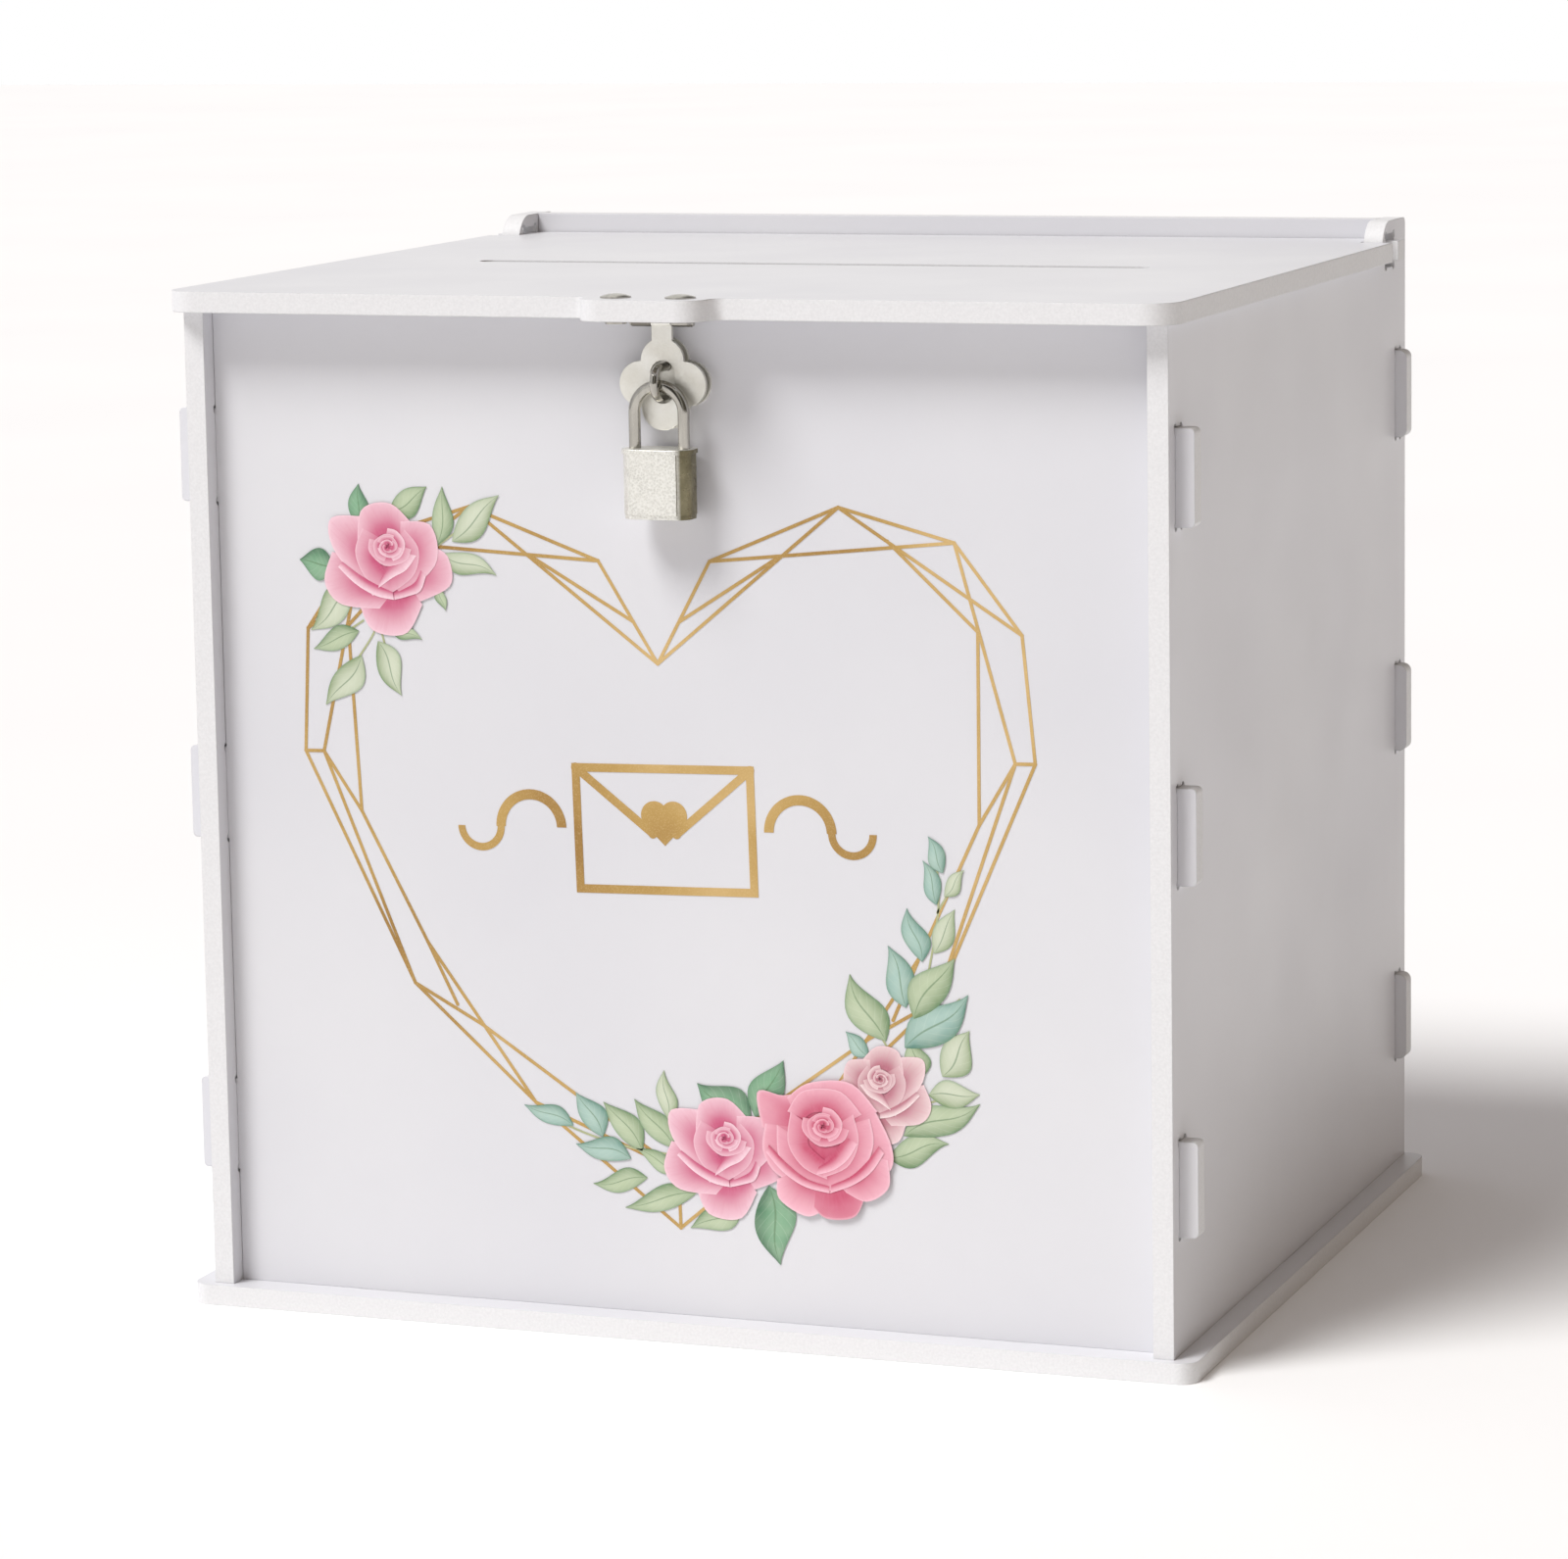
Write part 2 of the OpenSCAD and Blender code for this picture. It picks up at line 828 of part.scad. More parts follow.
// Leaves as [base, tip, breadth]
top_leaves = [
  [[-75.6, 84], [-74.7, 93.7], 5], [[-67, 87], [-57, 93], 6],
  [[-55, 79], [-53, 93], 5], [[-51, 80], [-38.5, 91], 6.5],
  [[-54, 77], [-40, 72], 5], [[-55, 69], [-53.5, 63.5], 2.5],
  [[-77, 69.5], [-89, 58.5], 7], [[-76.4, 58.4], [-88.5, 54], 5],
  [[-76, 52.5], [-86, 40.5], 6.5], [[-71.5, 56], [-66, 43], 6],
  [[-68, 59], [-60, 56.5], 3], [[-82, 74], [-91, 75.5], 7]
];
bottom_leaves = [
  [[-26.5, -60], [-39, -55.5], 4.5], [[-19, -62.5], [-25.5, -52], 6],
  [[-9, -65.5], [-18.5, -54], 6], [[-0.5, -64.5], [-10.5, -53], 6],
  [[-2, -57.5], [-2.6, -45.7], 4.5], [[-12, -67.5], [-26, -64.5], 5.5],
  [[-8, -72], [-22, -74], 5], [[4.5, -75], [-14, -79.5], 5.5],
  [[16, -77], [2.5, -83.7], 6], [[22.8, -72.5], [25, -91.5], 9.5],
  [[19, -57], [5.7, -48.5], 9], [[20, -56], [27.7, -42.2], 7.5],
  [[53, -64.5], [68, -60.5], 6.5], [[57, -59], [76, -50.7], 7],
  [[63.5, -49], [76, -48.4], 6], [[67, -44.5], [74, -33.5], 7.5],
  [[58, -38], [74, -25], 8.5], [[60.5, -31], [71, -16.5], 8],
  [[53.4, -36.6], [45, -21], 8], [[58.6, -28.5], [54.7, -14], 6.5],
  [[63, -17.5], [59.7, -5], 5.5], [[67, -4], [64, 6.3], 4],
  [[68.8, 3.5], [65.5, 12], 4], [[69, -2], [74, 4.3], 3.5],
  [[66, -15.5], [71.4, -5], 5], [[49, -40.5], [43.5, -34.7], 4],
  [[0, -70.5], [-10.5, -65], 4], [[62, -45], [59.5, -36], 5.5]
];

module top_leaves_print() {
  color(green)
    on_panel(1)
      for (l = top_leaves)
        leaf(l[0], l[1], l[2]);
}

module bottom_leaves_print() {
  color(green)
    on_panel(1)
      for (l = bottom_leaves)
        leaf(l[0], l[1], l[2]);
}

// Rose outline: a ring of round petals about a round middle
module rose(middle, r, petals, turn) {
  petal_r = r * 0.45;
  translate(middle) {
    circle(r - petal_r);
    for (i = [0:petals - 1])
      rotate(turn + i * 360 / petals)
        translate([r - petal_r, 0])
          circle(petal_r);
  }
}

module top_rose_print() {
  color(pink)
    on_panel(2)
      rose([-68, 74], 16, 6, 20);
}

module left_rose_print() {
  color(pink)
    on_panel(2)
      rose([12.5, -66.5], 14.5, 6, 0);
}

module middle_rose_print() {
  color(deep_pink)
    on_panel(3)
      rose([37.5, -63], 16.5, 7, 10);
}

module pale_rose_print() {
  color(pale_pink)
    on_panel(2)
      rose([51.8, -49.5], 11.5, 6, 30);
}

bottom_panel();
left_side_panel();
right_side_panel();
front_panel();
back_panel();
lid();
tongue_rivets();
hasp_bracket();
hasp_pin();
hasp_leaf();
staple_plate();
staple_eye();
staple_washer();
staple_screws();
padlock_shackle();
padlock_case();
padlock_end_cap();
padlock_latch();
shackle_spring();
key_plug();
plug_wafers();
plug_clip();
heart_print();
envelope_print();
top_leaves_print();
bottom_leaves_print();
top_rose_print();
left_rose_print();
middle_rose_print();
pale_rose_print();
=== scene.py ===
"""Looks of the card box: camera, lights, materials and the printed flowers."""

import math
import random

import bmesh
import bpy
from mathutils import Matrix, Vector


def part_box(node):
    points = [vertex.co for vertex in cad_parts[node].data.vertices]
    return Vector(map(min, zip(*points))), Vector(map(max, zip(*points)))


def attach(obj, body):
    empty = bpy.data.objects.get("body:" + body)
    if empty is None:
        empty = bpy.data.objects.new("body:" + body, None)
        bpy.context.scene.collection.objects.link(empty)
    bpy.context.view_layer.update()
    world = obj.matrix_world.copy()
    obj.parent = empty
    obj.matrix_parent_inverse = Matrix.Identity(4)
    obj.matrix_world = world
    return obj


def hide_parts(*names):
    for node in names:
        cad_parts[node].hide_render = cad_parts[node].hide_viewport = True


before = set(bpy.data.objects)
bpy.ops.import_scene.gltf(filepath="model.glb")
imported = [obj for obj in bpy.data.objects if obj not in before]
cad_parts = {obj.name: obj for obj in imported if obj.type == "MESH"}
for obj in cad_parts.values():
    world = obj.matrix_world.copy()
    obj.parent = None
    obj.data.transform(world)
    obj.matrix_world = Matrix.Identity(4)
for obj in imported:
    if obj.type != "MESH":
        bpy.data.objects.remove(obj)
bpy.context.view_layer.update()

MM = 0.001

# ---------------------------------------------------------------- camera

CAMERA_POSITION = (0.4737, -1.2907, 0.3459)
CAMERA_AZIMUTH = 20.63
CAMERA_ELEVATION = 8.77
CAMERA_ROLL = -0.96
CAMERA_FOCAL_MM = 127.0
CAMERA_SHIFT = (0.002, -0.040)


def add_camera():
    az, el, roll = (
        math.radians(a) for a in (CAMERA_AZIMUTH, CAMERA_ELEVATION, CAMERA_ROLL)
    )
    forward = Vector(
        (-math.sin(az) * math.cos(el), math.cos(az) * math.cos(el), -math.sin(el))
    )
    level = Vector((math.cos(az), math.sin(az), 0))
    right = level * math.cos(roll) + level.cross(forward) * math.sin(roll)
    up = right.cross(forward)
    data = bpy.data.cameras.new("camera")
    data.lens = CAMERA_FOCAL_MM
    data.sensor_width = 36
    data.shift_x, data.shift_y = CAMERA_SHIFT
    data.clip_end = 20
    camera = bpy.data.objects.new("camera", data)
    bpy.context.collection.objects.link(camera)
    turn = Matrix((right, up, -forward)).transposed().to_4x4()
    camera.matrix_world = Matrix.Translation(CAMERA_POSITION) @ turn
    bpy.context.scene.camera = camera


# ---------------------------------------------------------------- shader graphs


class Shader:
    """A material with short ways to add nodes and link them."""

    def __init__(self, name, **values):
        self.mat = bpy.data.materials.new(name)
        self.mat.use_nodes = True
        self.nodes = self.mat.node_tree.nodes
        self.bsdf = self.nodes["Principled BSDF"]
        self.coords = self.nodes.new("ShaderNodeTexCoord")
        for key, value in values.items():
            self.set(self.bsdf, key.replace("_", " "), value)

    def set(self, node, socket, value):
        target = node.inputs[socket]
        if isinstance(value, bpy.types.NodeSocket):
            self.mat.node_tree.links.new(value, target)
        else:
            target.default_value = value

    def add(self, kind, inputs, **settings):
        node = self.nodes.new("ShaderNode" + kind)
        for key, value in settings.items():
            setattr(node, key, value)
        for socket, value in inputs.items():
            self.set(node, socket, value)
        return node

    def noise(self, scale, detail=3, stretch=(1, 1, 1), space="Object"):
        where = self.add(
            "Mapping", {"Vector": self.coords.outputs[space], "Scale": stretch}
        )
        node = self.add(
            "TexNoise", {"Vector": where.outputs[0], "Scale": scale, "Detail": detail}
        )
        return node.outputs["Fac"]

    def math(self, operation, a, b=0.0, c=0.0):
        node = self.add("Math", {0: a, 1: b, 2: c}, operation=operation)
        return node.outputs[0]

    def between(self, value, low, high, out_low=0.0, out_high=1.0):
        node = self.add(
            "MapRange",
            {
                "Value": value,
                "From Min": low,
                "From Max": high,
                "To Min": out_low,
                "To Max": out_high,
            },
        )
        return node.outputs[0]

    def mix(self, factor, a, b, blend="MIX"):
        node = self.add("Mix", {0: factor}, data_type="RGBA", blend_type=blend)
        self.set(node, 6, a)
        self.set(node, 7, b)
        return node.outputs[2]

    def ramp(self, value, stops):
        node = self.add("ValToRGB", {0: value})
        elements = node.color_ramp.elements
        while len(elements) < len(stops):
            elements.new(0.5)
        for element, (position, colour) in zip(elements, stops):
            element.position = position
            element.color = (*colour, 1)
        return node.outputs[0]

    def bump(self, height, distance, strength=1.0, bevel=0.0):
        inputs = {"Height": height, "Distance": distance, "Strength": strength}
        if bevel:
            inputs["Normal"] = self.add("Bevel", {"Radius": bevel}).outputs[0]
        self.set(self.bsdf, "Normal", self.add("Bump", inputs).outputs[0])

    def colour(self, value):
        self.set(self.bsdf, "Base Color", value)

    def rough(self, value):
        self.set(self.bsdf, "Roughness", value)


def rgba(colour):
    return (*colour, 1)


# ---------------------------------------------------------------- materials


def foam_board(axis):
    """White foam board whose thickness runs along the given axis."""
    s = Shader(f"foam_board_{axis}", Metallic=0.0)
    s.set(s.bsdf, "Specular IOR Level", 0.42)
    normal = s.add("SeparateXYZ", {0: s.coords.outputs["Normal"]})
    facing = s.math("ABSOLUTE", normal.outputs["xyz".index(axis)])
    edge = s.between(facing, 0.6, 0.4)
    tone = s.between(s.noise(9, 4), 0.3, 0.7)
    face = s.mix(tone, rgba((0.69, 0.69, 0.725)), rgba((0.74, 0.74, 0.765)))
    grain = s.noise(1500, 4)
    cut_tone = s.between(grain, 0.3, 0.7)
    cut = s.mix(cut_tone, rgba((0.74, 0.74, 0.75)), rgba((0.80, 0.80, 0.81)))
    speck = s.between(s.noise(2600, 2), 0.66, 0.74)
    face = s.mix(s.math("MULTIPLY", speck, 0.06), face, rgba((0.5, 0.5, 0.5)))
    s.colour(s.mix(edge, face, cut))
    smear = s.between(s.noise(24, 5), 0.3, 0.75, 0.30, 0.44)
    s.rough(s.math("MULTIPLY_ADD", edge, 0.16, smear))
    skin = s.math("MULTIPLY", s.noise(420, 3), 0.25)
    fuzz = s.math("MULTIPLY", edge, s.math("MULTIPLY", grain, 0.35))
    height = s.math("ADD", skin, fuzz)
    s.bump(height, 0.0001, 0.5, bevel=0.0004)
    return s.mat


def nickel(name, low, high, rough, grit):
    """Plated sheet or cast metal: grit is the depth of its surface texture."""
    s = Shader(name, Metallic=1.0)
    patch = s.between(s.noise(160, 4), 0.3, 0.7)
    s.colour(s.mix(patch, rgba(low), rgba(high)))
    fine = s.noise(2400, 3)
    s.rough(s.between(fine, 0.3, 0.7, rough - 0.08, rough + 0.1))
    coarse = s.noise(1500, 2)
    s.bump(s.math("ADD", fine, coarse), grit, 0.8, bevel=0.0002)
    return s.mat


def padlock_skin():
    """Pebbled cream casting with one smoother side, the one facing +x, painted dark brown as shade.
    """
    s = Shader("padlock_skin", Metallic=1.0)
    normal = s.add("SeparateXYZ", {0: s.coords.outputs["Normal"]})
    flank = s.between(normal.outputs[0], 0.25, 0.5)
    cells = s.add(
        "TexVoronoi", {"Vector": s.coords.outputs["Object"], "Scale": 1900.0}
    ).outputs["Distance"]
    patch = s.between(s.noise(220, 4), 0.3, 0.7)
    base = s.mix(patch, rgba((0.66, 0.65, 0.60)), rgba((0.86, 0.85, 0.79)))
    # Painted glints: the colour is lightened towards near white where the pebble bump is raised.
    face = s.mix(s.between(cells, 0.1, 0.75), base, rgba((0.95, 0.94, 0.89)))
    # Painted shade: the side facing +x is coloured dark brown, standing in for the shadow it lies
    # in.
    flank_painted_shade = s.mix(patch, rgba((0.17, 0.15, 0.09)), rgba((0.31, 0.28, 0.18)))
    s.colour(s.mix(flank, face, flank_painted_shade))
    dull = s.between(s.noise(900, 3), 0.3, 0.7, 0.36, 0.54)
    s.rough(s.math("SUBTRACT", dull, s.math("MULTIPLY", flank, 0.14)))
    pebbles = s.math("MULTIPLY", cells, s.math("SUBTRACT", 1.0, s.math("MULTIPLY", flank, 0.9)))
    s.bump(pebbles, 0.00009, 0.8, bevel=0.0003)
    return s.mat


def bright_wire():
    s = Shader("bright_wire", Metallic=1.0)
    streak = s.noise(700, 3, stretch=(1, 1, 0.15))
    s.colour(
        s.mix(
            s.between(streak, 0.3, 0.7), rgba((0.38, 0.365, 0.33)), rgba((0.56, 0.54, 0.49))
        )
    )
    s.rough(s.between(streak, 0.3, 0.7, 0.08, 0.18))
    s.bump(streak, 0.00003, 0.5)
    return s.mat


def brass():
    s = Shader("brass", Metallic=1.0)
    turned = s.noise(900, 3, stretch=(1, 1, 6))
    s.colour(
        s.mix(
            s.between(turned, 0.3, 0.7), rgba((0.55, 0.38, 0.16)), rgba((0.78, 0.60, 0.30))
        )
    )
    s.rough(s.between(turned, 0.3, 0.7, 0.25, 0.4))
    s.bump(turned, 0.00004, 0.6, bevel=0.0001)
    return s.mat


def gold_ink():
    """Gold-coloured print that shades from brown to pale gold."""
    s = Shader("gold_ink", Metallic=0.25)
    drift = s.noise(26, 3)
    ground = s.ramp(
        s.between(drift, 0.3, 0.7),
        [(0.0, (0.36, 0.20, 0.05)), (0.5, (0.52, 0.33, 0.10)), (1.0, (0.68, 0.47, 0.20))],
    )
    fleck = s.between(s.noise(3200, 2), 0.5, 0.8, 0, 0.35)
    s.colour(s.mix(fleck, ground, rgba((0.80, 0.62, 0.34))))
    s.rough(s.between(s.noise(600, 2), 0.3, 0.7, 0.35, 0.5))
    s.bump(s.noise(1800, 2), 0.00002, 0.4)
    return s.mat


def leaf_ink():
    """Watercolour leaf: its own colour, a pale midrib and slanting veins."""
    s = Shader("leaf_ink", Metallic=0.0, Roughness=0.55)
    own = s.add("Attribute", {}, attribute_name="ink").outputs["Color"]
    place = s.add("SeparateXYZ", {0: s.coords.outputs["UV"]})
    along, across = place.outputs[0], place.outputs[1]
    side = s.math("ABSOLUTE", s.math("SUBTRACT", across, 0.5))
    slant = s.math("SUBTRACT", s.math("MULTIPLY", along, 7.0), s.math("MULTIPLY", side, 4.0))
    wave = s.math("ABSOLUTE", s.math("SINE", s.math("MULTIPLY", slant, math.pi)))
    vein = s.between(wave, 0.16, 0.04)
    rib = s.between(side, 0.035, 0.012)
    rim = s.between(side, 0.40, 0.5)
    wash = s.between(s.noise(230, 3), 0.3, 0.7)
    tone = s.mix(s.math("MULTIPLY", wash, 0.16), own, rgba((0.78, 0.82, 0.68)))
    tone = s.mix(s.math("MULTIPLY", vein, 0.16), tone, rgba((0.80, 0.86, 0.74)))
    tone = s.mix(s.math("MULTIPLY", rib, 0.6), tone, rgba((0.10, 0.20, 0.09)))
    tone = s.mix(s.math("MULTIPLY", rim, 0.4), tone, rgba((0.12, 0.26, 0.14)))
    s.colour(tone)
    s.rough(s.between(wash, 0, 1, 0.48, 0.62))
    s.bump(wave, 0.00002, 0.4)
    return s.mat


def petal_ink():
    """Watercolour petal: its own colour, fine streaks and a pale rim."""
    s = Shader("petal_ink", Metallic=0.0, Roughness=0.55)
    own = s.add("Attribute", {}, attribute_name="ink").outputs["Color"]
    place = s.add("SeparateXYZ", {0: s.coords.outputs["UV"]})
    outward = place.outputs[0]
    streak = s.noise(5, 4, stretch=(0.35, 5, 1), space="UV")
    wash = s.between(s.noise(170, 3), 0.3, 0.7)
    tone = s.mix(s.between(streak, 0.45, 0.7, 0, 0.22), own, rgba((0.66, 0.20, 0.31)))
    tone = s.mix(s.math("MULTIPLY", wash, 0.14), tone, rgba((0.92, 0.66, 0.72)))
    rim = s.between(outward, 0.90, 0.96)
    tone = s.mix(s.math("MULTIPLY", rim, 0.35), tone, rgba((0.92, 0.64, 0.71)))
    s.colour(tone)
    s.rough(s.between(wash, 0, 1, 0.48, 0.62))
    s.bump(streak, 0.00002, 0.4)
    return s.mat


def paint_cad_nodes():
    board = {axis: foam_board(axis) for axis in "xyz"}
    plate = nickel("nickel_plate", (0.80, 0.78, 0.71), (0.92, 0.91, 0.86), 0.42, 0.00003)
    wire = bright_wire()
    # Painted shade: the hasp bracket is coloured near black, standing in for the shadow under the
    # hasp's tongue.
    bracket = nickel("nickel_bracket_painted_shade", (0.15, 0.14, 0.12), (0.26, 0.245, 0.21), 0.34, 0.00002)
    skin = padlock_skin()
    looks = {
        "bottom_panel": board["z"],
        "lid": board["z"],
        "left_side_panel": board["x"],
        "right_side_panel": board["x"],
        "front_panel": board["y"],
        "back_panel": board["y"],
        "hasp_bracket": bracket,
        "hasp_leaf": plate,
        "staple_plate": plate,
        "padlock_case": skin,
        "padlock_end_cap": skin,
        "heart_print": gold_ink(),
    }
    looks["envelope_print"] = looks["heart_print"]
    yellow = brass()
    for name in ("padlock_latch", "key_plug", "plug_wafers"):
        looks[name] = yellow
    for name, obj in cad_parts.items():
        obj.data.materials.clear()
        obj.data.materials.append(looks.get(name, wire))


# ---------------------------------------------------------------- films on the panel

# Place and turn of the artwork on the front panel, in millimetres
PRINT_X = -3.0
PRINT_Z = 110.0
PRINT_TILT = math.radians(1.3)
PANEL_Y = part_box("front_panel")[0][1] / MM

# Heights of the films above the panel, in millimetres
STEM_LOW = 0.10
STEM_THICK = 0.01
LEAF_LOW = 0.14
LEAF_THICK = 0.02
LEAF_STEP = 0.025
ROSE_LOW = 0.32
FRONT_ROSE_LOW = 0.82
PETAL_THICK = 0.014
PETAL_STEP = 0.016


def on_panel(point, depth):
    """Artwork point and height above the panel, in millimetres, to the object's frame."""
    x, z = point
    cos_t, sin_t = math.cos(PRINT_TILT), math.sin(PRINT_TILT)
    return (
        (PRINT_X + x * cos_t - z * sin_t) * MM,
        (PANEL_Y - depth) * MM,
        (PRINT_Z + x * sin_t + z * cos_t) * MM,
    )


class Films:
    """Collects thin closed sheets, each a grid of points with its own colours."""

    def __init__(self):
        self.verts, self.faces, self.uvs, self.inks = [], [], [], []

    def sheet(self, grid, low, high, ink):
        """grid[i][j] is a point; ink(u, v) its colour; low and high its depths."""
        rows, cols = len(grid), len(grid[0])
        start = len(self.verts)
        for depth in (high, low):
            for line in grid:
                self.verts += [on_panel(p, depth) for p in line]

        def at(i, j, back=0):
            return start + back * rows * cols + i * cols + j

        def uv(i, j):
            return (i / (rows - 1), j / (cols - 1))

        def face(corners):
            self.faces.append([at(*c) for c in corners])
            for c in corners:
                self.uvs.append(uv(c[0], c[1]))
                self.inks.append((*ink(*uv(c[0], c[1])), 1.0))

        for i in range(rows - 1):
            for j in range(cols - 1):
                quad = [(i, j), (i + 1, j), (i + 1, j + 1), (i, j + 1)]
                face([(a, b, 0) for a, b in quad])
                face([(a, b, 1) for a, b in reversed(quad)])
        for i in range(rows - 1):
            face([(i, 0, 0), (i, 0, 1), (i + 1, 0, 1), (i + 1, 0, 0)])
            k = cols - 1
            face([(i + 1, k, 0), (i + 1, k, 1), (i, k, 1), (i, k, 0)])
        for j in range(cols - 1):
            face([(0, j + 1, 0), (0, j + 1, 1), (0, j, 1), (0, j, 0)])
            k = rows - 1
            face([(k, j, 0), (k, j, 1), (k, j + 1, 1), (k, j + 1, 0)])

    def build(self, name, material, node):
        mesh = bpy.data.meshes.new(name)
        mesh.from_pydata(self.verts, [], self.faces)
        mesh.uv_layers.new(name="UVMap")
        mesh.color_attributes.new("ink", "FLOAT_COLOR", "CORNER")
        mesh.uv_layers["UVMap"].data.foreach_set("uv", flat(self.uvs))
        mesh.color_attributes["ink"].data.foreach_set("color", flat(self.inks))
        mesh.materials.append(material)
        obj = bpy.data.objects.new(name, mesh)
        bpy.context.collection.objects.link(obj)
        make_outward(mesh)
        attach(obj, "box")
        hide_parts(node)
        return obj


def flat(rows):
    return [value for row in rows for value in row]


def make_outward(mesh):
    """Turns every face of the closed sheets outward."""
    bm = bmesh.new()
    bm.from_mesh(mesh)
    bmesh.ops.recalc_face_normals(bm, faces=bm.faces)
    bm.to_mesh(mesh)
    bm.free()


def blend(a, b, t):
    return tuple(x + (y - x) * t for x, y in zip(a, b))


def leaf_grid(base, tip, breadth, bend, curl):
    length = math.dist(base, tip)
    ax, az = (tip[0] - base[0]) / length, (tip[1] - base[1]) / length
    steps = 14
    grid = []
    for i in range(steps + 1):
        t = i / steps
        half = max(0.06, 0.56 * breadth * math.sin(math.pi * t**0.8) ** 1.15)
        lean = length * (bend * math.sin(math.pi * t) + curl * math.sin(2 * math.pi * t))
        line = []
        for j in range(7):
            off = lean + half * (j / 3 - 1)
            x = base[0] + ax * length * t - az * off
            z = base[1] + az * length * t + ax * off
            line.append((x, z))
        grid.append(line)
    return grid


def leaf_ink_of(shade):
    light, dark = shade

    def ink(u, v):
        rim = abs(2 * v - 1)
        ends = abs(2 * u - 1) ** 2.2
        shadow = 0.05 + 0.35 * rim**2 if v > 0.5 else 0.12 + 0.78 * rim**1.4
        return blend(light, dark, min(1, shadow + 0.5 * ends))

    return ink


SAGE = ((0.52, 0.61, 0.41), (0.10, 0.20, 0.07))
PALE = ((0.66, 0.71, 0.56), (0.20, 0.29, 0.12))
TEAL = ((0.42, 0.60, 0.54), (0.06, 0.20, 0.15))
DEEP = ((0.24, 0.46, 0.28), (0.02, 0.11, 0.05))

# base, tip, breadth, shade
TOP_LEAVES = [
    ((-75.6, 84), (-74.7, 93.7), 5, DEEP),
    ((-67, 87), (-57, 93), 6, SAGE),
    ((-55, 79), (-53, 93), 5, SAGE),
    ((-51, 80), (-38.5, 91), 6.5, PALE),
    ((-54, 77), (-40, 72), 5, PALE),
    ((-55, 69), (-53.5, 63.5), 2.5, SAGE),
    ((-77, 69.5), (-89, 58.5), 7, PALE),
    ((-76.4, 58.4), (-88.5, 54), 5, SAGE),
    ((-76, 52.5), (-86, 40.5), 6.5, PALE),
    ((-71.5, 56), (-66, 43), 6, PALE),
    ((-68, 59), (-60, 56.5), 3, SAGE),
    ((-82, 74), (-91, 75.5), 7, DEEP),
]

BOTTOM_LEAVES = [
    ((-26.5, -60), (-39, -55.5), 4.5, TEAL),
    ((-19, -62.5), (-25.5, -52), 6, TEAL),
    ((-9, -65.5), (-18.5, -54), 6, SAGE),
    ((-0.5, -64.5), (-10.5, -53), 6, SAGE),
    ((-2, -57.5), (-2.6, -45.7), 4.5, PALE),
    ((-12, -67.5), (-26, -64.5), 5.5, TEAL),
    ((-8, -72), (-22, -74), 5, SAGE),
    ((4.5, -75), (-14, -79.5), 5.5, SAGE),
    ((16, -77), (2.5, -83.7), 6, SAGE),
    ((22.8, -72.5), (25, -91.5), 9.5, DEEP),
    ((19, -57), (5.7, -48.5), 9, DEEP),
    ((20, -56), (27.7, -42.2), 7.5, DEEP),
    ((53, -64.5), (68, -60.5), 6.5, SAGE),
    ((57, -59), (76, -50.7), 7, SAGE),
    ((63.5, -49), (76, -48.4), 6, PALE),
    ((67, -44.5), (74, -33.5), 7.5, PALE),
    ((58, -38), (74, -25), 8.5, TEAL),
    ((60.5, -31), (71, -16.5), 8, SAGE),
    ((53.4, -36.6), (45, -21), 8, SAGE),
    ((58.6, -28.5), (54.7, -14), 6.5, TEAL),
    ((63, -17.5), (59.7, -5), 5.5, TEAL),
    ((67, -4), (64, 6.3), 4, TEAL),
    ((68.8, 3.5), (65.5, 12), 4, TEAL),
    ((69, -2), (74, 4.3), 3.5, PALE),
    ((66, -15.5), (71.4, -5), 5, PALE),
    ((49, -40.5), (43.5, -34.7), 4, TEAL),
    ((0, -70.5), (-10.5, -65), 4, SAGE),
    ((62, -45), (59.5, -36), 5.5, SAGE),
]

TOP_STEMS = [
    [(-70, 70), (-71, 60), (-76, 53), (-84, 43)],
    [(-71, 60), (-69, 52), (-67, 45)],
    [(-60, 76), (-53, 80), (-45, 86)],
    [(-58, 78), (-55, 84), (-53.4, 90)],
    [(-60, 75), (-50, 75), (-42, 72.6)],
    [(-76, 66), (-82, 63), (-87, 59.5)],
    [(-75, 61), (-81, 57.4), (-87, 54.8)],
]

BOTTOM_STEMS = [
    [(56, -46), (61, -33), (65, -18), (68, -3), (67, 9)],
    [(20, -66), (0, -66.5), (-18, -64), (-36, -57)],
    [(60, -38), (66, -31), (72, -26)],
    [(56, -42), (50, -32), (46, -23)],
    [(60, -52), (68, -49.5), (74, -48.5)],
    [(66, -15), (70, -8)],
    [(67, -6), (72, 2)],
    [(61, -34), (68, -22)],
]


STEM_BREADTH = 0.5
STEM_GREEN = (0.42, 0.44, 0.22)


def stem_grid(path, breadth):
    """A thin ribbon along the path."""
    grid = []
    for k, point in enumerate(path):
        before, after = path[max(k - 1, 0)], path[min(k + 1, len(path) - 1)]
        length = math.dist(before, after)
        nx = -(after[1] - before[1]) / length
        nz = (after[0] - before[0]) / length
        sides = (-breadth / 2, breadth / 2)
        grid.append([(point[0] + nx * side, point[1] + nz * side) for side in sides])
    return grid


def smooth(path, rounds=3):
    """Rounds a path's corners by cutting them."""
    for _ in range(rounds):
        finer = [path[0]]
        for a, b in zip(path, path[1:]):
            finer += [blend(a, b, 0.25), blend(a, b, 0.75)]
        path = finer + [path[-1]]
    return path


